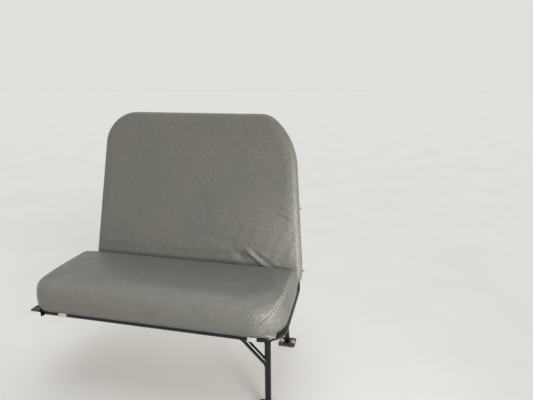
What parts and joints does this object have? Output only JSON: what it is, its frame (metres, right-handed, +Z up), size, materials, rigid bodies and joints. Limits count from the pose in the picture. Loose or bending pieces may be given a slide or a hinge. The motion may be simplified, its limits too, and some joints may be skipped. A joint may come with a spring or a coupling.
{
  "type": "school bus bench seat",
  "caption": "Padded vinyl bench seat with a reclined back on a bent steel tube frame, on an aisle-side pedestal and wall brackets, with a lift-up cushion.",
  "frame": {"origin": "on the floor, in the middle of the four floor bolts of the pedestal", "axes": "+X from the bus wall towards the aisle, +Y from the seat's front to its back, +Z up"},
  "size_m": [0.9901, 0.6696, 0.9916],
  "materials": {
    "vinyl": "satin grained vinyl",
    "frame_black": "gloss",
    "foot_steel": "worn, rusty",
    "plywood": "raw",
    "nylon": "moulded",
    "zinc": "zinc plated"
  },
  "bodies": {
    "frame": {"seat_frame_tube": "frame_black", "wall_rail_tube": "frame_black", "rear_cross_tube": "frame_black", "front_leg": "frame_black", "rear_leg": "frame_black", "front_brace": "frame_black", "rear_brace": "frame_black", "front_foot_plate": "foot_steel", "rear_foot_plate": "foot_steel", "wall_bracket_front": "frame_black", "wall_bracket_rear": "frame_black", "back_pad": "vinyl"},
    "cushion": {"cushion_board": "plywood", "cushion_pad": "vinyl", "cushion_cover_hem": "vinyl", "clip_aisle": "nylon", "clip_wall": "nylon", "rear_hook_aisle": "zinc", "rear_hook_wall": "zinc"}
  },
  "joints": [
    {"name": "cushion_tilt", "type": "hinge", "parent": "frame", "child": "cushion", "pos_m": [-0.44, 0.131, 0.277], "axis": [-1, 0, 0], "range_deg": [0, 5]}
  ]
}
